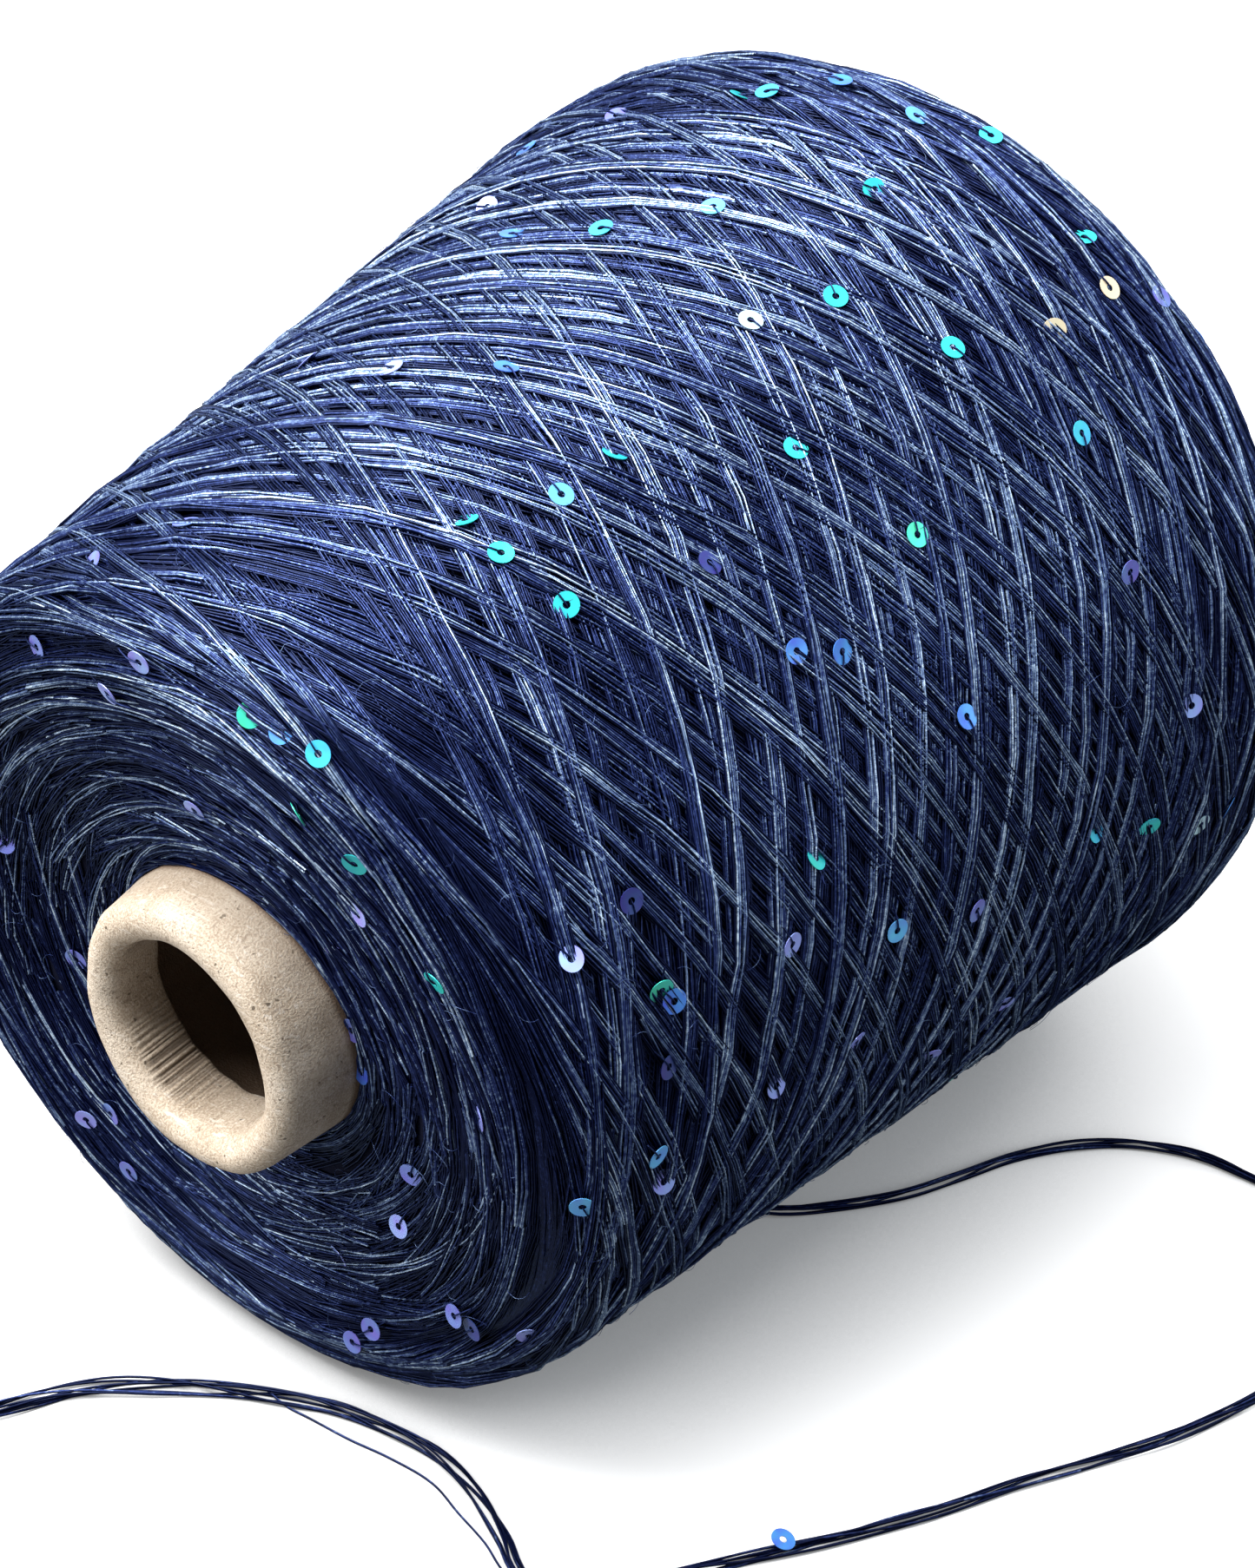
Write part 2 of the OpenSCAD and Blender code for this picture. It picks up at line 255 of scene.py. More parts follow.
# ---------------------------------------------------------------------------------------------
# Stray thread: one of the eight has come away from the tail and lies beside it on the table.
# ---------------------------------------------------------------------------------------------
STRAY_ROUTE = [(-75, -5, 0.6), (-75.3, -8.5, 0.3), (-75, -12, 0.2), (-74.6, -18.5, 0.2), (-73.9, -24, 0.2),
               (-73.9, -31.5, 0.2), (-75.5, -36.5, 0.2), (-77.3, -42.5, 0.2), (-79.5, -47.5, 0.3),
               (-80, -50, 0.5)]
stray_line = smooth_route([(x * MM, y * MM, z * MM) for x, y, z in STRAY_ROUTE], MM)
stray_path = paths("stray_thread", [stray_line], [np.tile([0.0, 0, 1], (len(stray_line), 1))],
                   shade=[np.full(len(stray_line), 0.2)], along=[np.arange(len(stray_line)) * MM])
stray_thread = grown("stray_thread", stray_path, threads, thread_thickness=0.0003)

# ---------------------------------------------------------------------------------------------
# Sequins: thin punched discs of dyed film, slightly cupped, with a hole that one thread passes
# through, so that the thread lies over one half of the face and under the other.
# ---------------------------------------------------------------------------------------------
SEQUIN_DIAMETER = 0.003
SEQUIN_HOLE = 0.0009
SEQUIN_COLOURS = {
    "teal": (0.02, 0.42, 0.45), "turquoise": (0.03, 0.62, 0.62), "cyan": (0.05, 0.50, 0.70),
    "sky": (0.12, 0.42, 0.80), "blue": (0.06, 0.20, 0.62), "lilac": (0.28, 0.34, 0.78),
    "violet": (0.14, 0.17, 0.52), "white": (0.42, 0.62, 0.68), "cream": (0.70, 0.60, 0.42),
    "green": (0.04, 0.55, 0.38), "dark": (0.03, 0.05, 0.20),
}

film, shader, fill, node, maths = plain_material("iridescent_film")
tint = node("ShaderNodeAttribute", attribute_name="tint")["Color"]
# The hue plays a little over each disc
play = node("ShaderNodeTexNoise", {"Vector": node("ShaderNodeTexCoord")["Object"], "Scale": 420,
                                   "Detail": 1})["Fac"]
swing = node("ShaderNodeMapRange", {"Value": play, "To Min": 0.44, "To Max": 0.56})["Result"]
hue = node("ShaderNodeHueSaturation", {"Hue": swing, "Color": tint})["Color"]
fill(shader, {"Base Color": hue, "Metallic": 0.2, "Roughness": 0.3, "Specular IOR Level": 0.3,
              "Coat Weight": 0.12, "Coat Roughness": 0.08})


def sequin_tree(material):
    """Geometry Nodes: a sequin on every point, turned to face its direction and tinted from it."""
    tree = bpy.data.node_groups.new("sequins_on_points", "GeometryNodeTree")
    sockets = tree.interface
    sockets.new_socket("Points", in_out="INPUT", socket_type="NodeSocketGeometry")
    for label, value in (("Diameter", SEQUIN_DIAMETER), ("Hole", SEQUIN_HOLE), ("Film", 0.00009),
                         ("Cup", 0.00006)):
        sockets.new_socket(label, in_out="INPUT", socket_type="NodeSocketFloat").default_value = value
    sockets.new_socket("Sequins", in_out="OUTPUT", socket_type="NodeSocketGeometry")
    _, node, maths = tree_tools(tree)
    given = node("NodeGroupInput")
    middle = maths("MULTIPLY", maths("ADD", given["Diameter"], given["Hole"]), 0.25)
    ring = node("GeometryNodeCurvePrimitiveCircle", {"Resolution": 28, "Radius": middle})[0]
    wide = maths("MULTIPLY", maths("SUBTRACT", given["Diameter"], given["Hole"]), 0.5)
    section = node("GeometryNodeCurvePrimitiveQuadrilateral", {"Width": wide, "Height": given["Film"]})[0]
    disc = node("GeometryNodeCurveToMesh", {"Curve": ring, "Profile Curve": section})[0]
    where = node("ShaderNodeSeparateXYZ", {0: node("GeometryNodeInputPosition")[0]})
    radius = maths("SQRT", maths("ADD", maths("MULTIPLY", where[0], where[0]),
                                 maths("MULTIPLY", where[1], where[1])))
    lift = maths("MULTIPLY", maths("DIVIDE", radius, given["Diameter"]), given["Cup"])
    lift = node("ShaderNodeCombineXYZ", {2: maths("MULTIPLY", lift, 2.0)})[0]
    disc = node("GeometryNodeSetPosition", {"Geometry": disc, "Offset": lift})[0]
    facing = node("GeometryNodeInputNamedAttribute", {"Name": "out"}, data_type="FLOAT_VECTOR")[0]
    turned = node("FunctionNodeAlignRotationToVector", {"Vector": facing})[0]
    placed = node("GeometryNodeInstanceOnPoints", {"Points": given["Points"], "Instance": disc,
                                                   "Rotation": turned})[0]
    mesh = node("GeometryNodeRealizeInstances", {"Geometry": placed})[0]
    mesh = node("GeometryNodeSetShadeSmooth", {"Geometry": mesh, "Shade Smooth": False})[0]
    mesh = node("GeometryNodeSetMaterial", {"Geometry": mesh, "Material": material})[0]
    node("NodeGroupOutput", {0: mesh})
    return tree


sequins = sequin_tree(film)


def sequin_points(name, points, facings, tints):
    """A mesh of loose points, each with the direction that its sequin faces and its colour."""
    mesh = bpy.data.meshes.new(name)
    mesh.vertices.add(len(points))
    mesh.vertices.foreach_set("co", np.array(points, np.float32).ravel())
    mesh.attributes.new("out", "FLOAT_VECTOR", "POINT").data.foreach_set(
        "vector", np.array(facings, np.float32).ravel())
    mesh.attributes.new("tint", "FLOAT_COLOR", "POINT").data.foreach_set(
        "color", np.array([(*SEQUIN_COLOURS[t], 1) for t in tints], np.float32).ravel())
    return mesh


tail_sequin_point = sequin_points("tail_sequin_disc", [(-0.0557, -0.0697, TAIL_THICKNESS)],
                                  [(0.1, -0.35, 0.93)], ["blue"])
tail_sequin = grown("tail_sequin_disc", tail_sequin_point, sequins, slot="sequin_blue")
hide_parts("tail_sequin")
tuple(tail_line[0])

# ---------------------------------------------------------------------------------------------
# Paper cone: wound grey board, glued and cut, with its nose rolled in to a smooth lip and the
# turned-in edge wrinkled round the throat. The nose is pushed slightly askew by handling.
# ---------------------------------------------------------------------------------------------
CONE_ANGLE = math.radians(5.95)
# Where the nose tip lies, in metres; the cone's own sizes are millimetres along and off its axis
NOSE_TIP = np.array([-0.08054, 0, 0.05408])
AXIS = np.array([math.cos(CONE_ANGLE), 0, math.sin(CONE_ANGLE)])
TOWARDS_FRONT = np.array([0, -1.0, 0])
UPWARDS = np.array([-math.sin(CONE_ANGLE), 0, math.cos(CONE_ANGLE)])
SLOPE = math.tan(CONE_ANGLE)
CONE_LENGTH = 160.0
NOSE_RADIUS = 17.5
LIP = 2.5
BOARD = 2.0
FLANGE = 9.0
THROAT_RADIUS = NOSE_RADIUS - 2 * LIP


def laid(z, radius, angle):
    """Points of the cone lying on its side, in metres, from millimetres along and off its axis."""
    z, radius, angle = (np.asarray(v, float)[..., None] for v in (z, radius, angle))
    return NOSE_TIP + MM * (z * AXIS + radius * (np.cos(angle) * TOWARDS_FRONT + np.sin(angle) * UPWARDS))


def lathed(name, outline, turns, shape=None):
    """A closed shell of revolution through (z, radius) points, whose ends join; shape bends it."""
    z, r = (np.repeat(np.array(v, float)[:, None], turns, 1) for v in zip(*outline))
    angle = np.repeat(np.arange(turns)[None] * math.tau / turns, len(outline), 0)
    crease = 0 * z
    if shape:
        z, r, crease = shape(z, r, angle)
    points = laid(z, r, angle).reshape(-1, 3)
    rows, n = len(outline), turns
    i, j = np.meshgrid(np.arange(rows), np.arange(n), indexing="ij")
    down, over = (i + 1) % rows, (j + 1) % n
    faces = np.stack([i * n + j, i * n + over, down * n + over, down * n + j], -1).reshape(-1, 4)
    mesh = bpy.data.meshes.new(name)
    mesh.from_pydata(points.tolist(), [], faces.tolist())
    mesh.attributes.new("crease", "FLOAT", "POINT").data.foreach_set(
        "value", crease.astype(np.float32).ravel())
    corners = points[faces]
    volume = (corners[:, 0] * np.cross(corners[:, 1], corners[:, 2])).sum() + (
        corners[:, 0] * np.cross(corners[:, 2], corners[:, 3])).sum()
    if volume < 0:
        mesh.flip_normals()
    mesh.shade_smooth()
    piece = bpy.data.objects.new(name, mesh)
    bpy.context.scene.collection.objects.link(piece)
    return piece


def cone_outside(z):
    """The cone's outer radius at a distance along the axis."""
    return NOSE_RADIUS + (z - LIP) * SLOPE


def waves(angle, z, seed, count=7, top=30):
    """Smooth irregular waves of about 1 round the axis and along it."""
    chance = np.random.default_rng(seed)
    total = 0 * angle
    for _ in range(count):
        weight = chance.uniform(0.4, 1)
        total += weight * np.sin(chance.integers(2, top) * angle + chance.uniform(-0.4, 0.4) * z
                                 + chance.uniform(0, 6.3))
    return total / count ** 0.5


def folds(angle, z, inside):
    """How deep the creases of the turned-in edge are, most where the hand rolled it in last."""
    ridge = np.abs(waves(angle, z * 0.12, 7, 9, 120))
    most = sum(share * np.exp(-((np.degrees(angle) - at) / wide) ** 2)
               for at, wide, share in ((233, 24, 1.0), (137, 18, 0.75), (330, 30, 0.3)))
    turned_in = np.clip((z - 1.6) / 1.6, 0, 1) * inside * (z < FLANGE)
    return np.clip(1 - ridge / 0.55, 0, 1) * (0.12 + most) * turned_in


def handled(z, r, angle):
    """The nose as it is: a lip of uneven width, a wrinkled flange, and the whole rim pushed askew."""
    near_lip = np.clip(1 - z / 12, 0, 1)
    inside = r < NOSE_RADIUS - LIP
    crease = folds(angle, z, inside)
    r = r + near_lip * 0.14 * waves(angle, z, 5, top=9) + 0.05 * waves(angle, z * 0.3, 6, top=24) * (z < 100)
    r = r + 0.35 * crease
    z = z + np.where(inside & (z > 5) & (z < FLANGE + 1), 0.15 * waves(angle, 0, 8, 6, 20), 0)
    bend = np.clip(1 - z / 22, 0, 1) ** 1.5
    return z + bend * r * (0.105 * np.sin(angle) - 0.042 * np.cos(angle)), r, crease


lip_steps = [(LIP - LIP * math.sin(a), NOSE_RADIUS - LIP + LIP * math.cos(a))
             for a in np.linspace(0, math.pi, 19)]
outer_steps = [(z, cone_outside(z)) for z in (CONE_LENGTH, 140, 100, 60, 40, 30, *np.arange(24, 3, -1.25))]
flange_steps = [(z, THROAT_RADIUS) for z in np.arange(3.2, FLANGE, 0.6)]
back_steps = [(FLANGE, THROAT_RADIUS + 0.5), (FLANGE, THROAT_RADIUS + 1.5),
              (FLANGE - 1, THROAT_RADIUS + 1.9), (LIP + 1, THROAT_RADIUS + 1.9),
              (LIP + 0.4, cone_outside(LIP) - BOARD), (20, cone_outside(20) - BOARD),
              (100, cone_outside(100) - BOARD), (CONE_LENGTH, cone_outside(CONE_LENGTH) - BOARD)]
paper = lathed("paper_cone_board", outer_steps + lip_steps + flange_steps + back_steps, 640, handled)
board, shader, fill, node, maths = plain_material("grey_board")
place = node("ShaderNodeTexCoord")["Object"]


def noise(scale, detail=2.0, roughness=0.5, where=place):
    """A noise on the piece's own coordinates, or on turned and stretched ones."""
    return node("ShaderNodeTexNoise", {"Vector": where, "Scale": scale, "Detail": detail,
                                       "Roughness": roughness})["Fac"]


def stretched(turn, scale):
    """The piece's own coordinates, turned and stretched."""
    return node("ShaderNodeMapping", {"Vector": place, "Rotation": turn, "Scale": scale})["Vector"]


def mixed(factor, under, colour, strength):
    """Lays a colour over another where a mask says so."""
    return node("ShaderNodeMix", {"Factor": maths("MULTIPLY", factor, strength), "A": under,
                                  "B": (*colour, 1)}, data_type="RGBA")["Result"]


def mask(value, low, high):
    """1 where a value is past high, 0 where it is short of low; low may be the larger one."""
    return node("ShaderNodeMapRange", {"Value": value, "From Min": low, "From Max": high})["Result"]


pulp = ramp(node, noise(110, 5, 0.6), (0.32, (0.35, 0.275, 0.20)), (0.5, (0.47, 0.385, 0.295)),
            (0.68, (0.58, 0.495, 0.40)))
grain = noise(3600, 3, 0.6)
# Grain, dark fibres one way, pale fibres another way, and black specks
dark_fibres = noise(1.0, 2, 0.6, stretched((0.3, 0.9, 0.5), (260, 1500, 1500)))
pale_fibres = noise(1.0, 2, 0.6, stretched((1.1, -0.4, 0.2), (1400, 240, 1400)))
colour = mixed(mask(grain, 0.45, 0.72), pulp, (0.68, 0.59, 0.48), 0.7)
colour = mixed(mask(grain, 0.50, 0.30), colour, (0.26, 0.19, 0.13), 0.6)
colour = mixed(mask(dark_fibres, 0.62, 0.70), colour, (0.26, 0.20, 0.15), 0.7)
colour = mixed(mask(pale_fibres, 0.60, 0.68), colour, (0.68, 0.61, 0.53), 0.6)
colour = mixed(mask(noise(1150, 1), 0.30, 0.25), colour, (0.09, 0.07, 0.05), 0.85)
# Painted shade: the creases of the turned-in edge are painted dark, for the shade down in them
crease = node("ShaderNodeAttribute", attribute_name="crease")["Fac"]
colour = mixed(crease, colour, (0.10, 0.07, 0.05), 0.85)
along_axis = node("ShaderNodeVectorMath", {0: place, 1: AXIS}, operation="DOT_PRODUCT")["Value"]


def past(low, high):
    """A mask by the distance from the nose tip along the axis, in millimetres."""
    tip = float(NOSE_TIP @ AXIS)
    return mask(along_axis, tip + low * MM, tip + high * MM)


# Painted shade: past the lip the board is painted darker than the rim, which the light falls on most
colour = mixed(past(LIP, 7.5), colour, (0.22, 0.17, 0.125), 0.42)
# Between the flange and the yarn's back face only the bore shows; it is painted dark brown, as painted shade
# inside it
bore = maths("MULTIPLY", past(FLANGE, 9.8), past(143.3, 141.3))
colour = mixed(bore, colour, (0.11, 0.065, 0.04), 0.85)
rough = node("ShaderNodeBump", {"Height": grain, "Distance": 0.00018, "Strength": 0.9})["Normal"]
fill(shader, {"Base Color": colour, "Normal": rough, "Roughness": 0.9, "Specular IOR Level": 0.1})
paper.data.materials.append(board)
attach(paper, "root")
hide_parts("paper_cone")

# ---------------------------------------------------------------------------------------------
# Wound layers: one long yarn laid by a traverse that runs to and fro along the turning cone.
# Every thread is settled on what lies under it, so that later runs ride over earlier ones.
# ---------------------------------------------------------------------------------------------
# The package's outline, in millimetres along and off the axis
SMALL_RADIUS = 55.0
FRONT, BACK = 6.0, 144.0
FRONT_FACE_INNER = 18.0
DISH = 4.0
# Each rounded edge: how long it is, and how far the radius drops over it
FRONT_ROUND = (5.0, 10.0)
BASE_ROUND = (26.0, 22.0)
# The lead is the angle between the yarn and a plain turn, in degrees, out to the base and back
LEAD_OUT, LEAD_BACK = 24.5, 20.5
DEEP_TRIPS = 97
ROUND_TRIPS = 89
BAND_PITCH = 0.27
BENT_NEAR_TURN = 55
ARC_THREADS = 5
ARC_PITCH = 0.36
# Each thread's thickness, and how high its middle is where it rests on the table, in metres
WOUND_THICKNESS = 0.00027
RESTS_AT = 0.00018
# How far a thread lifts the pile, the steps along a thread, and the cells of the pile
SETTLED = 0.16
SPACING = 0.4
CELL = 0.3
ROUND_CELLS = 1257
LAYERS = ("deepest_runs", "deep_runs", "first_runs", "second_runs", "third_runs", "fourth_runs",
          "fifth_runs", "sixth_runs", "last_runs", "front_turns", "back_turns")
FRONT_TURNS, BACK_TURNS = LAYERS.index("front_turns"), LAYERS.index("back_turns")


def outside(z):
    """The package's radius at a distance along the axis."""
    r = SMALL_RADIUS + (z - FRONT) * SLOPE
    into_front, into_base = FRONT + FRONT_ROUND[0] - z, z - BACK + BASE_ROUND[0]
    for (length, drop), u in ((FRONT_ROUND, into_front), (BASE_ROUND, into_base)):
        u = np.clip(u / length, 0, 1)
        r = r - drop * (1 - np.sqrt(1 - u * u))
    return r


# The package's outline from the cone at the front, over the side, to the cone at the back:
# z along the axis, r off it and s along the outline
quarter = np.linspace(0, math.pi / 2, 40)
face_z = np.linspace(FRONT + DISH, FRONT, 30)[:-1]
face_r = np.linspace(FRONT_FACE_INNER, outside(FRONT), 30)[:-1]
front_edge = FRONT + FRONT_ROUND[0] * (1 - np.cos(quarter))
flank = np.linspace(FRONT + FRONT_ROUND[0] + 1, BACK - BASE_ROUND[0] - 1, 60)
base_edge = BACK - BASE_ROUND[0] + BASE_ROUND[0] * np.sin(quarter)
back_r = np.linspace(outside(BACK), cone_outside(BACK) + 0.4, 21)[1:]
meridian_z = np.concatenate([face_z, front_edge, flank, base_edge, np.full(len(back_r), BACK)])
meridian_r = np.concatenate([face_r, outside(front_edge), outside(flank), outside(base_edge), back_r])
meridian_s = np.concatenate([[0], np.cumsum(np.hypot(np.diff(meridian_z), np.diff(meridian_r)))])
FACE_END, BACK_EDGE = float(meridian_s[len(face_z) - 1]), float(meridian_s[-len(back_r) - 1])
even_s = np.arange(0, meridian_s[-1], 0.25)
LAST_S = float(even_s[-1])
even_z, even_r = np.interp(even_s, meridian_s, meridian_z), np.interp(even_s, meridian_s, meridian_r)
# The outward direction turns gently at the edges
soft = np.hanning(17) / np.hanning(17).sum()
out_r = np.convolve(np.pad(np.gradient(even_z, even_s), 8, "edge"), soft, "valid")
out_z = -np.convolve(np.pad(np.gradient(even_r, even_s), 8, "edge"), soft, "valid")
out_r, out_z = out_r / np.hypot(out_r, out_z), out_z / np.hypot(out_r, out_z)


def on_package(s, angle, height):
    """Point and outward direction at a distance along the package's outline and an angle round it."""
    z, r = np.interp(s, even_s, even_z), np.interp(s, even_s, even_r)
    nr, nz = np.interp(s, even_s, out_r), np.interp(s, even_s, out_z)
    spoke = np.cos(angle)[..., None] * TOWARDS_FRONT + np.sin(angle)[..., None] * UPWARDS
    out = nr[..., None] * spoke + nz[..., None] * AXIS
    return laid(z + nz * height, r + nr * height, angle), out


# The pile: how high the yarn lies at each place of the package, in millimetres
pile = np.zeros((int(LAST_S / CELL) + 2, ROUND_CELLS), np.float32)
wound = []
chance = np.random.default_rng(1)


def slow(length, scale, wave):
    """A slow random swing to either side, one value for each step along a thread."""
    x = np.arange(length) * SPACING
    return scale * sum(np.sin(x / (wave * f) * math.tau + chance.uniform(0, 6.3)) * w
                       for f, w in ((1, 0.6), (0.43, 0.35), (0.21, 0.2)))


def settle(s, angle, shade, keep, group):
    """Lays one thread on the pile, where it bridges dips, and keeps every so many of its points."""
    i = np.clip((s / CELL).astype(int), 0, pile.shape[0] - 1)
    j = (angle / math.tau * ROUND_CELLS).astype(int) % ROUND_CELLS
    under = pile[i, j]
    height = np.lib.stride_tricks.sliding_window_view(np.pad(under, 2, "edge"), 5).max(1)
    for _ in range(2):
        height = np.convolve(np.pad(height, 4, "edge"), np.ones(9) / 9, "valid")
    pile[i, j] = np.maximum(under, height + SETTLED)
    pick = np.unique(np.concatenate([np.arange(0, len(s), keep), [len(s) - 1]]))
    wound.append((group, s[pick], angle[pick], height[pick] + SETTLED / 2,
                  np.full(len(pick), shade), pick * SPACING))


def eased(distance, turn, zone, least):
    """How much of the full lead is left near a turn: it drops over a zone, then goes to nothing."""
    u = min(1, max(0, (distance - turn) / (zone - turn)))
    return (least + (1 - least) * u * u * (3 - 2 * u)) * math.sqrt(min(1, max(distance, 0) / turn))


def run(turn_front, turn_back, lead):
    """One run of the traverse between two turns: places along the outline, angles and leads."""
    s, angle = turn_front + 0.02, 0.0
    places, angles, leads = [], [], []
    while s < turn_back - 0.02 and len(places) < 3000:
        sine = lead * math.sqrt(min(1, (s - turn_front) / 30))
        sine *= eased(turn_back - s, turn=8, zone=75, least=0.30)
        places.append(s)
        angles.append(angle)
        leads.append(sine)
        s += SPACING * max(sine, 0.01)
        angle += SPACING * math.sqrt(1 - sine * sine) / float(np.interp(s, even_s, even_r))
    return np.array(places), np.array(angles), np.array(leads)


def face_arcs(count, inner, outer, group):
    """Arcs of the turns at a face: each comes in from the rim, bends round and goes out again."""
    starts = np.concatenate([chance.uniform(inner, outer, count),
                             chance.uniform(inner, inner + 4, count // 6)])
    sign = 1 if group == FRONT_TURNS else -1
    for start in starts if group == FRONT_TURNS else LAST_S - starts:
        radius = float(np.interp(np.clip(start, 0, LAST_S), even_s, even_r))
        half = chance.uniform(0.35, 0.95)
        n = int(2 * half * radius / SPACING)
        swing = np.linspace(-half, half, n)
        centre, tilt, shade = chance.uniform(0, math.tau), chance.normal(0, 1.8), chance.uniform(0, 0.1)
        # Beside the cone an arc hardly bends
        free = inner + 3 < start < LAST_S - inner - 3
        bend = chance.uniform(1.5, 7) if free else chance.uniform(0.2, 1.5)
        for k in range(ARC_THREADS):
            aside = (k - (ARC_THREADS - 1) / 2) * ARC_PITCH
            s = start + sign * (bend * swing**2 + aside) + tilt * swing + slow(n, 0.22, 26)
            # The last thread of each arc is painted dark, as painted shade at its edge
            tone_and_edge_shade = 0.52 * chance.uniform(0, 1) ** 1.5 if k < ARC_THREADS - 1 else -0.4
            settle(np.clip(s, 0.4, LAST_S - 0.4), centre + swing, shade + tone_and_edge_shade, keep=8, group=group)


face_arcs(count=340, inner=0.5, outer=FACE_END + 4, group=FRONT_TURNS)
face_arcs(count=230, inner=0.5, outer=LAST_S - BACK_EDGE + 2, group=BACK_TURNS)


def wind(round_trips, order, pitch, keep, groups):
    """Winds to and fro. The turns lie a little apart, and each run has its own place round."""
    turns = [FACE_END + chance.uniform(0, 8) if end % 2 == 0 else
             BACK_EDGE - chance.uniform(0, 4) for end in range(2 * round_trips + 1)]
    runs = []
    for number, (start, end) in enumerate(zip(turns, turns[1:])):
        outward = number % 2 == 0
        lead = math.sin(math.radians(chance.normal(LEAD_OUT if outward else LEAD_BACK, 0.5)))
        s, angle, lead = run(min(start, end), max(start, end), lead)
        if not outward:
            s, angle, lead = s[::-1], angle[-1] - angle[::-1], lead[::-1]
        middle = int(np.argmin(abs(s - 0.5 * (FACE_END + BACK_EDGE))))
        runs.append((s, angle - angle[middle], lead))
    # All round trips together make whole turns, so that the runs cross in an even lattice
    reach = [this[1][-1] - following[1][0] for this, following in zip(runs, runs[1:])]
    steps = [float(np.mean(reach[end::2])) for end in (0, 1)]
    share = round(sum(steps) / math.tau * round_trips) / round_trips * math.tau
    steps = [step + (share - sum(steps)) / 2 for step in steps]
    middles = [share * (number // 2) + steps[0] * (number % 2)
               + chance.normal(0, 0.25) * math.tau / round_trips for number in range(len(runs))]
    # The last run ends underneath, where the loose tail leaves
    middles = [middle - math.pi / 2 - middles[-1] - runs[-1][1][-1] for middle in middles]
    # Two runs that don't quite meet at their turn are bent towards each other near it
    gaps = [0, *(middles[k + 1] - middles[k] - reach[k] for k in range(len(reach))), 0]
    for number, (s, angle, lead) in enumerate(runs):
        from_start = np.clip(abs(s - s[0]) / BENT_NEAR_TURN, 0, 1)
        from_end = np.clip(abs(s - s[-1]) / BENT_NEAR_TURN, 0, 1)
        angle = (angle + middles[number]
                 - gaps[number] / 2 * (1 - from_start) ** 2 * (1 + 2 * from_start)
                 + gaps[number + 1] / 2 * (1 - from_end) ** 2 * (1 + 2 * from_end))
        way = 1.0 if number % 2 == 0 else -1.0
        radius = np.interp(s, even_s, even_r)
        wide = 1 + slow(len(s), 0.22, 90)
        twist = slow(len(s), 0.3, 60)
        # The last three runs are painted darker, as painted shade, so that the runs on top in full light
        # stand out no more than the rest
        tone = chance.uniform(0, 0.12) if number < len(runs) - 3 else -0.08
        for k in order:
            drift = slow(len(s), chance.choice([0.1, 0.15, 0.3]), 40)
            aside = (k - (THREADS - 1) / 2) * pitch * wide + drift + twist
            # Painted shade: the threads at the edges of a run are painted dark, for the shade where the run
            # curves away under its middle threads
            tone_and_edge_shade = 0.18 + 0.32 * chance.uniform(0, 1) if 0 < k < THREADS - 1 else -0.4
            settle(np.clip(s + aside * np.sqrt(1 - lead**2), 0.3, LAST_S - 0.3),
                   angle - way * aside * lead / radius, tone + tone_and_edge_shade, keep,
                   groups[number * len(groups) // len(runs)])


wind(DEEP_TRIPS, order=(0, 2, 4, 6), pitch=0.4, keep=30, groups=range(0, 2))
wind(ROUND_TRIPS, order=(0, 3, 6, 1, 4, 7, 2, 5), pitch=BAND_PITCH, keep=14, groups=range(2, 9))

# The top of the pile follows the package's outline, so each place is lowered by how high yarn is there
top = np.percentile(pile, 85, axis=1)
top = np.convolve(np.pad(top, 7, "edge"), np.hanning(15) / np.hanning(15).sum(), "valid")
top_s = np.arange(len(top)) * CELL


def lowered(s, height):
    """A thread's height over the package's outline, from its height on the pile."""
    height = height - np.interp(s, top_s, top) - 0.1
    return np.clip(np.where(height > 0, 0.3 * height, height), -2.0, 0.1)


for group, name in enumerate(LAYERS):
    lines, outs, shades, alongs = [], [], [], []
    for _, s, angle, height, shade, along in (w for w in wound if w[0] == group):
        depth = lowered(s, height)
        points, out = on_package(s, angle, depth)
        # The threads underneath are pressed flat by the package's weight
        points[:, 2] = np.maximum(points[:, 2], RESTS_AT)
        lines.append(points)
        outs.append(out)
        # Painted shade: the deeper a thread lies, the darker it is painted, for the shade down among the
        # threads above it
        shades.append(shade + 0.02 + 0.28 * np.clip(depth + 0.15, -1.2, 0))
        alongs.append(along * MM)
    piece = grown("yarn_" + name, paths(name, lines, outs, shade=shades, along=alongs), threads,
                  wander=0.00008, wander_scale=160.0, seed=group, thread_thickness=WOUND_THICKNESS)
    if name == "last_runs":
        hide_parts("yarn_winding")

# Layers further in, which show only as dark yarn between the outer threads; they have more rows
# at both ends, where the outline is rounded. Their near black is painted shade, for the shade down there.
inner_s = np.concatenate([np.arange(0.2, 45, 1.0), np.arange(45, BACK_EDGE - 40, 4),
                          np.arange(BACK_EDGE - 40, LAST_S, 1.0)])
inner_h = np.maximum(-np.interp(inner_s, top_s, top), -2.0) - 0.25
inner_z = np.interp(inner_s, even_s, even_z) + np.interp(inner_s, even_s, out_z) * inner_h
inner_r = np.interp(inner_s, even_s, even_r) + np.interp(inner_s, even_s, out_r) * inner_h
core = lathed("yarn_inner_layers", [(inner_z[0] + 1, cone_outside(12) - 0.6), *zip(inner_z, inner_r),
                                    (inner_z[-1], cone_outside(BACK) - 0.6)], 180)
# Painted shade: the inner yarn is near black for the shade between the outer threads
deep, shader, fill, node, maths = plain_material("yarn_in_the_dark")
fill(shader, {"Base Color": (0.002, 0.003, 0.012, 1), "Roughness": 0.9, "Specular IOR Level": 0.1})
core.data.materials.append(deep)
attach(core, "root")
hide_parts("yarn_core")

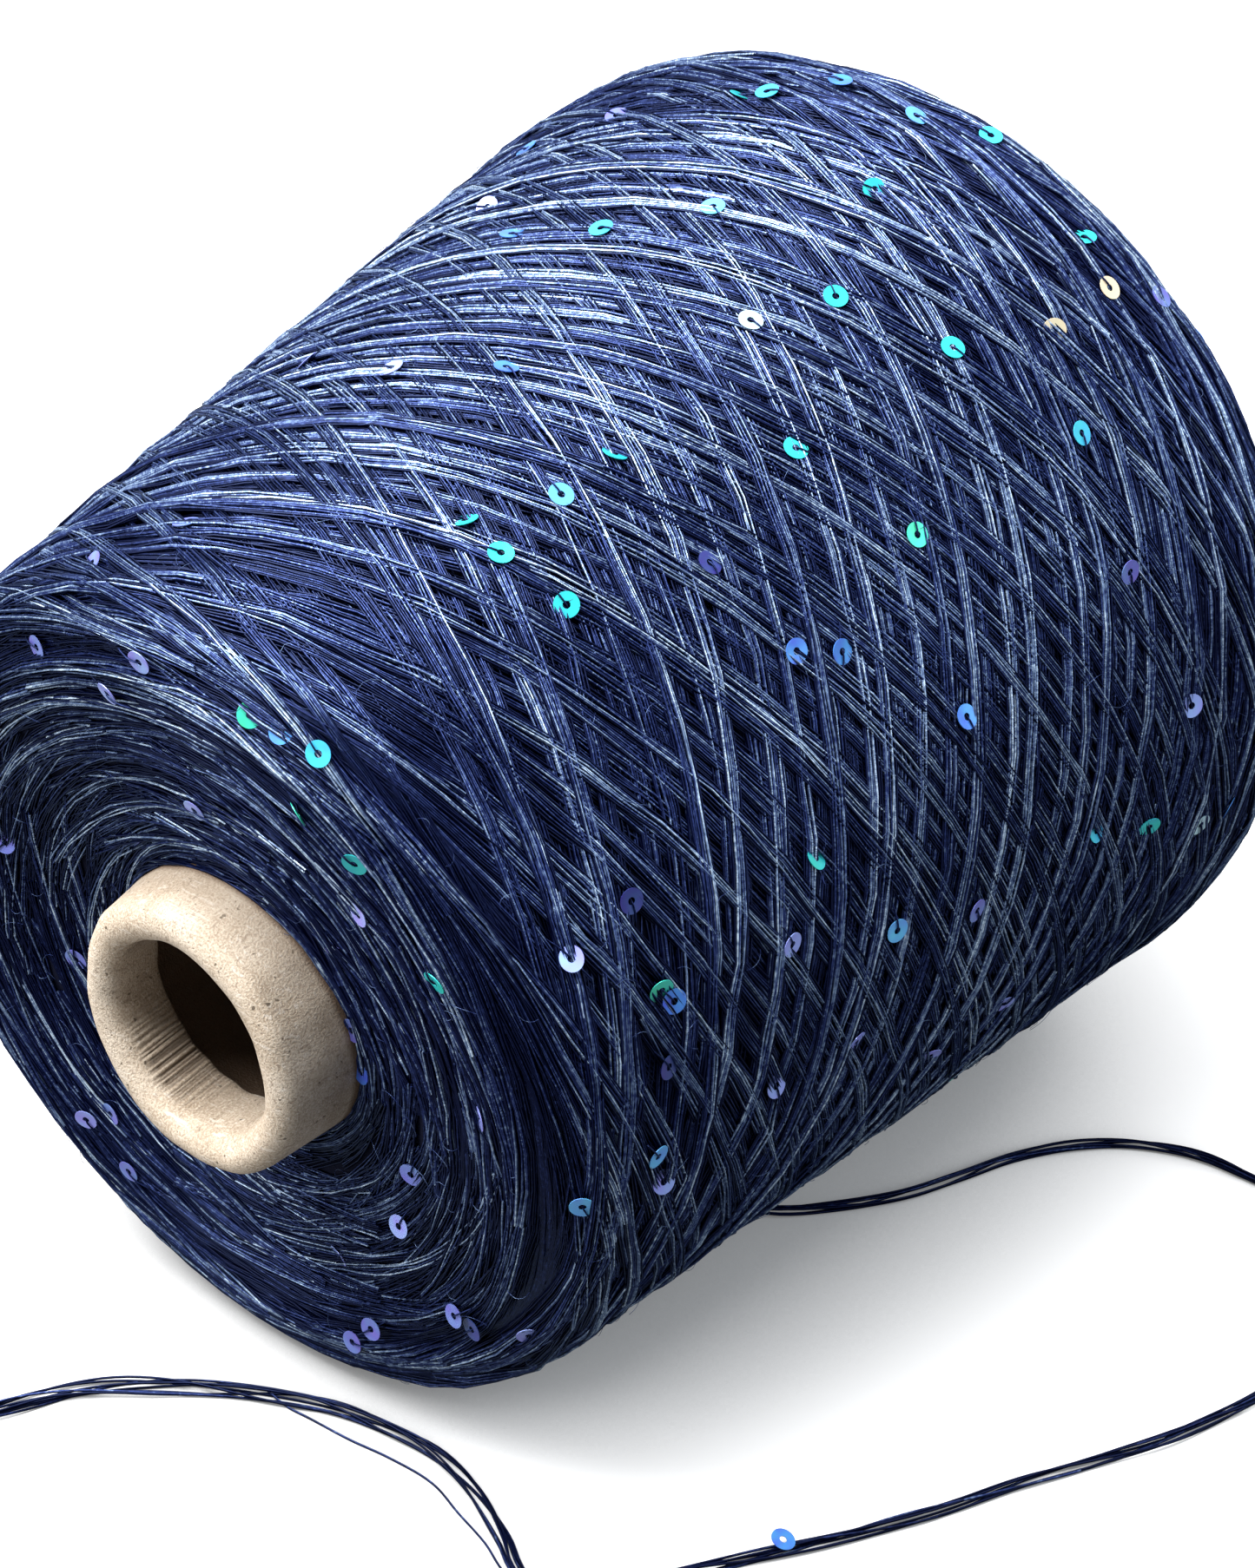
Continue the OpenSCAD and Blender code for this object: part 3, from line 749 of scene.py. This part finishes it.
# ---------------------------------------------------------------------------------------------
# Sequins on the package: they sit where the yarn carries them, flat on the pile or half under a
# later run, on the side, on the shoulders and on both faces.
# ---------------------------------------------------------------------------------------------
# On the side: millimetres along the axis, degrees round it, colour, and how far it is covered
ON_SIDE = [(118, 97, "teal", 0.9), (126, 89, "blue", 0.1), (119, 94, "cyan", 0), (126, 79, "sky", 0.3),
           (133, 73, "cyan", 0.7), (133, 47, "violet", 0.5), (125, 51, "cream", 0),
           (129, 57, "teal", 0.9), (111, 110, "violet", 0.6), (106, 121, "blue", 0.4),
           (90, 114, "lilac", 0.6), (83, 104, "blue", 0.2), (87, 94, "cyan", 0), (97, 86, "sky", 0.1),
           (112, 75, "teal", 0.8), (95, 68, "turquoise", 0.1), (101, 56, "turquoise", 0.2),
           (85, 72, "white", 0.3), (114, 51, "cream", 0.9), (108, 41, "cyan", 0),
           (55, 99, "lilac", 0.4), (61, 87, "blue", 0.1), (55, 113, "lilac", 0.6),
           (59, 70, "teal", 0.8), (76, 58, "turquoise", 0.7), (50, 70, "sky", 0.2),
           (40, 75, "turquoise", 0.8), (39, 69, "turquoise", 0), (40, 60, "turquoise", 0.4),
           (81, 43, "green", 0.2), (105, 26, "violet", 0.3), (57, 54, "dark", 0.4),
           (59, 41, "blue", 0.5), (64, 38, "blue", 0.5), (75, 24, "blue", 0.2), (109, 8, "lilac", 0.4),
           (91, 1, "cyan", 0.7), (101, -4, "turquoise", 0.5), (112, -10, "white", 0.7),
           (117, -10, "blue", 0.3), (49, 21, "teal", 0.6), (57, 7, "sky", 0.1), (70, 2, "violet", 0.3),
           (42, 14, "lilac", 0.5), (25, 30, "dark", 0.5), (50, -5, "lilac", 0.8),
           (78, -18, "lilac", 0.6), (37, -3, "lilac", 0.5), (65, -18, "lilac", 0.6),
           (22, 10, "dark", 0.6), (24, 19, "green", 0.7), (25, 17, "blue", 0.6),
           (23, 102, "violet", 0.8), (14, 109, "violet", 0.8), (15, 29, "lilac", 0.3),
           (18, 0, "sky", 0.1), (19, -5, "lilac", 0.7)]
# On the front: millimetres off the axis instead
ON_FRONT = [(44, 102, "lilac", 0.1), (49.5, 94, "lilac", 0.2), (29, 91, "lilac", 0.1),
            (21, 131, "violet", 0.6), (43, 64, "green", 0.5), (51, 71, "blue", 0.6),
            (50, 76, "green", 0.8), (52.5, 65, "cyan", 0), (44.5, 53, "teal", 0.6),
            (36.5, 47, "lilac", 0), (24.5, 42, "violet", 0.7), (18.8, 14, "violet", 0.4),
            (19, -4, "blue", 0.4), (44, 33, "turquoise", 0.4), (43, -132, "lilac", 0.1),
            (38, -130, "violet", 0.1), (43.5, -121, "violet", 0.1), (29, -25, "violet", 0.2),
            (32, -42, "lilac", 0.1), (35, -69, "lilac", 0.8), (46.5, -71, "violet", 0.1),
            (44, -65, "violet", 0.1), (44, -41, "violet", 0.3), (46.5, -40, "dark", 0.3),
            (51.5, -32, "lilac", 0.7), (53.5, -2, "sky", 0.1), (41, 8, "lilac", 0.6),
            (48.5, 117, "violet", 0.7), (36.5, 167, "violet", 0.4), (28.5, -166, "violet", 0.3)]
FAR_SIDE, BACK_FACE = 44, 24
# How high a sequin stands on the pile and how far it may be sunk in it, in millimetres
RAISED, SUNK = 0.24, 0.7
# A sequin lower than the first lies under the package, at the second, in metres
UNDERNEATH, PRESSED_FLAT = 0.0018, 0.0003
HUES = ["blue", "cyan", "violet", "turquoise", "lilac", "sky", "teal", "green"]
# The thread through each hole: its thickness and how high its middle is on the table, in metres,
# and its course, in millimetres along the film from the hole and above or below the film
THROUGH_THICKNESS, THROUGH_RESTS_AT = 0.00022, 0.00015
THROUGH_HOLE = [(-3.4, -0.45), (-2.2, -0.3), (-1.0, -0.28), (-0.3, -0.12), (0.05, 0.12), (0.5, 0.24),
                (1.1, 0.25), (1.6, 0.2), (2.4, -0.05), (3.4, -0.45)]


def carried(places, name, slot, node):
    """Sequins at places on the package, with the thread that passes through each."""
    points, facings, tints, lines, outs = [], [], [], [], []
    chance = np.random.default_rng(len(places))
    for s, degrees, tint, hidden in places:
        angle = math.radians(degrees)
        # The sequin rests on the higher ones of the threads under it
        here = np.arange(-2.6, 2.7, 0.4)
        i = np.clip(((s + here) / CELL).astype(int), 0, pile.shape[0] - 1)
        radius = float(np.interp(s, even_s, even_r))
        j = ((angle + here / radius) / math.tau * ROUND_CELLS).astype(int) % ROUND_CELLS
        ground = float(np.percentile(pile[np.ix_(i, j)], 80))
        height = lowered(s, ground) + RAISED - SUNK * hidden
        point, out = on_package(np.array([s]), np.array([angle]), np.array([height]))
        round_way = -math.sin(angle) * TOWARDS_FRONT + math.cos(angle) * UPWARDS
        along_way = np.cross(out[0], round_way)
        lean = chance.normal(0, 0.09 + 0.3 * hidden, 2)
        facing = out[0] + lean[0] * round_way + lean[1] * along_way
        facing /= np.linalg.norm(facing)
        if point[0][2] < UNDERNEATH:
            point[0][2], facing = PRESSED_FLAT, np.array([0.0, 0, -1])
        points.append(point[0])
        facings.append(facing)
        tints.append(tint)
        way = chance.uniform(-0.5, 0.5)
        thread_way = math.cos(way) * round_way + math.sin(way) * along_way
        thread_way = thread_way - facing * (thread_way @ facing)
        side = 1 if chance.uniform() < 0.5 else -1
        line = np.array([point[0] + MM * (side * x * thread_way + (y + 0.02) * facing)
                         for x, y in THROUGH_HOLE])
        line[:, 2] = np.maximum(line[:, 2], THROUGH_RESTS_AT)
        lines.append(line)
        outs.append(np.tile(facing, (len(line), 1)))
    discs = grown(name, sequin_points(name, points, facings, tints), sequins, slot=slot)
    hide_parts(node)
    return lines, outs


def from_z(z):
    """The place along the outline of a distance along the axis, on the package's side."""
    side = (even_s > FACE_END) & (even_s < BACK_EDGE)
    return float(np.interp(z, even_z[side], even_s[side]))


def from_front_radius(r):
    """The place along the outline of a distance off the axis, on the front face."""
    near = even_s < FACE_END + 14
    return float(np.interp(r, even_r[near], even_s[near]))


# On the far side and on the back they are spread evenly, by the golden ratio
golden = [(k * 0.618) % 1 for k in range(60)]
near_side = [(from_z(z), *rest) for z, *rest in ON_SIDE]
far_side = [(from_z(16 + 118 * golden[k]), 140 + 180 * (k + 0.5) / FAR_SIDE, HUES[k * 5 % len(HUES)],
             0.8 * golden[k * 7 % len(golden)]) for k in range(FAR_SIDE)]
on_front = [(from_front_radius(r), *rest) for r, *rest in ON_FRONT]
on_back = [(LAST_S - 3 - 24 * golden[k], k * 137.5, HUES[k * 3 % len(HUES)],
            0.6 * golden[k * 5 % len(golden)]) for k in range(BACK_FACE)]
through = [carried(near_side + far_side, "sequins_on_side", "sequin_blue", "sequins_side"),
           carried(on_front, "sequins_on_front", "sequin_lilac", "sequins_front"),
           carried(on_back, "sequins_on_back", "sequin_blue", "sequins_back")]
lines, outs = sum((t[0] for t in through), []), sum((t[1] for t in through), [])
grown("threads_through_sequins",
      paths("threads_through_sequins", lines, outs, shade=[np.full(len(line), 0.15) for line in lines],
            along=[np.arange(len(line)) * MM for line in lines]), threads,
      thread_thickness=THROUGH_THICKNESS)

# ---------------------------------------------------------------------------------------------
# Fuzz: broken fibre ends of the satin threads, thin as hair, that curl a little off the pile.
# ---------------------------------------------------------------------------------------------
FIBRE_ENDS = 700
FIBRE_POINTS = 7
FIBRE_THICKNESS = 0.00006
chance = np.random.default_rng(4)
lines, outs = [], []
for _ in range(FIBRE_ENDS):
    t = np.linspace(0, 1, FIBRE_POINTS)
    length, way, curl = chance.uniform(1.2, 4.0), chance.uniform(0, math.tau), chance.normal(0, 1.6)
    s = chance.uniform(1, LAST_S - 1) + length * t * np.cos(way + curl * t)
    s = np.clip(s, 0.3, LAST_S - 0.3)
    angle = chance.uniform(0, math.tau) + length * t * np.sin(way + curl * t) / np.interp(s, even_s, even_r)
    rise = chance.uniform(0.1, 0.7) * np.sin(math.pi * t * chance.uniform(0.4, 1))
    points, out = on_package(s, angle, lowered(s, np.interp(s, top_s, top)) + rise)
    points[:, 2] = np.maximum(points[:, 2], 0.00005)
    lines.append(points)
    outs.append(out)
grown("fibre_ends", paths("fibre_ends", lines, outs, shade=[np.full(FIBRE_POINTS, 0.3) for _ in lines],
                          along=[np.arange(FIBRE_POINTS) * MM for _ in lines]), threads,
      thread_thickness=FIBRE_THICKNESS)

# ---------------------------------------------------------------------------------------------
# Table and light: a plain white table in a white room, with one large soft lamp high on the far
# side and two weak ones. To the camera the table glows as painted light, less by the package: a painted
# shadow.
# ---------------------------------------------------------------------------------------------
table_mesh = bpy.data.meshes.new("table")
table_mesh.from_pydata([(-0.9, -0.9, 0), (0.9, -0.9, 0), (0.9, 0.9, 0), (-0.9, 0.9, 0)], [], [(0, 1, 2, 3)])
table = bpy.data.objects.new("table", table_mesh)
bpy.context.scene.collection.objects.link(table)
white = bpy.data.materials.new("white_table")
white.use_nodes = True
white.node_tree.nodes.clear()
fill, node, maths = tree_tools(white.node_tree)
# To all other rays the table is darker, so that it throws little light up at the yarn
to_camera = node("ShaderNodeLightPath")["Is Camera Ray"]
whiteness = node("ShaderNodeMapRange", {"Value": to_camera, "To Min": 0.15, "To Max": 0.36})["Result"]
matt = node("ShaderNodeBsdfDiffuse", {"Color": whiteness})[0]
# Painted light and shadow: the glow stands for the room's spread light, by how open each place is, so it
# dips by the package like a soft shadow
openness = node("ShaderNodeAmbientOcclusion", {"Distance": 0.075})["AO"]
painted_room_light = node("ShaderNodeMapRange", {"Value": openness, "From Min": 0.25, "From Max": 0.65,
                                           "To Min": 0.14, "To Max": 0.95})["Result"]
glow = node("ShaderNodeEmission", {"Strength": maths("MULTIPLY", to_camera, painted_room_light)})[0]
both = node("ShaderNodeAddShader", {0: matt, 1: glow})[0]
node("ShaderNodeOutputMaterial", {"Surface": both})
table_mesh.materials.append(white)

# The room is white where it is seen or mirrored, and otherwise gives a weak, cool light
room = bpy.data.worlds.new("room")
bpy.context.scene.world = room
room.use_nodes = True
fill, node, maths = tree_tools(room.node_tree)
rays = node("ShaderNodeLightPath")
mirrored = maths("MAXIMUM", rays["Is Glossy Ray"], rays["Is Transmission Ray"])
seen = maths("MAXIMUM", rays["Is Camera Ray"], mirrored)
level = node("ShaderNodeMapRange", {"Value": seen, "To Min": 0.09, "To Max": 1.0})["Result"]
cool = node("ShaderNodeMix", {"Factor": seen, "A": (0.72, 0.84, 1, 1), "B": (0.97, 0.98, 1, 1)},
            data_type="RGBA")["Result"]
fill(room.node_tree.nodes["Background"], {"Strength": level, "Color": cool})


def lamp(name, place, target, size, power, colour=(1, 1, 1)):
    """A soft square lamp that faces a point."""
    made = bpy.data.objects.new(name, bpy.data.lights.new(name, "AREA"))
    bpy.context.scene.collection.objects.link(made)
    made.data.size = size
    made.data.energy = power
    made.data.color = colour
    made.location = place
    made.rotation_euler = (Vector(target) - Vector(place)).to_track_quat("-Z", "Y").to_euler()


lamp("soft_box", (-0.22, 0.30, 1.0), (0, 0, 0.05), 0.9, 45)
lamp("side_fill", (0.35, -0.9, 0.6), (0, 0, 0.05), 0.8, 7, (0.8, 0.9, 1))
lamp("front_fill", (-0.8, 0.45, 0.25), (-0.08, 0, 0.05), 0.35, 4.5)

bpy.context.scene.view_settings.view_transform = "Standard"
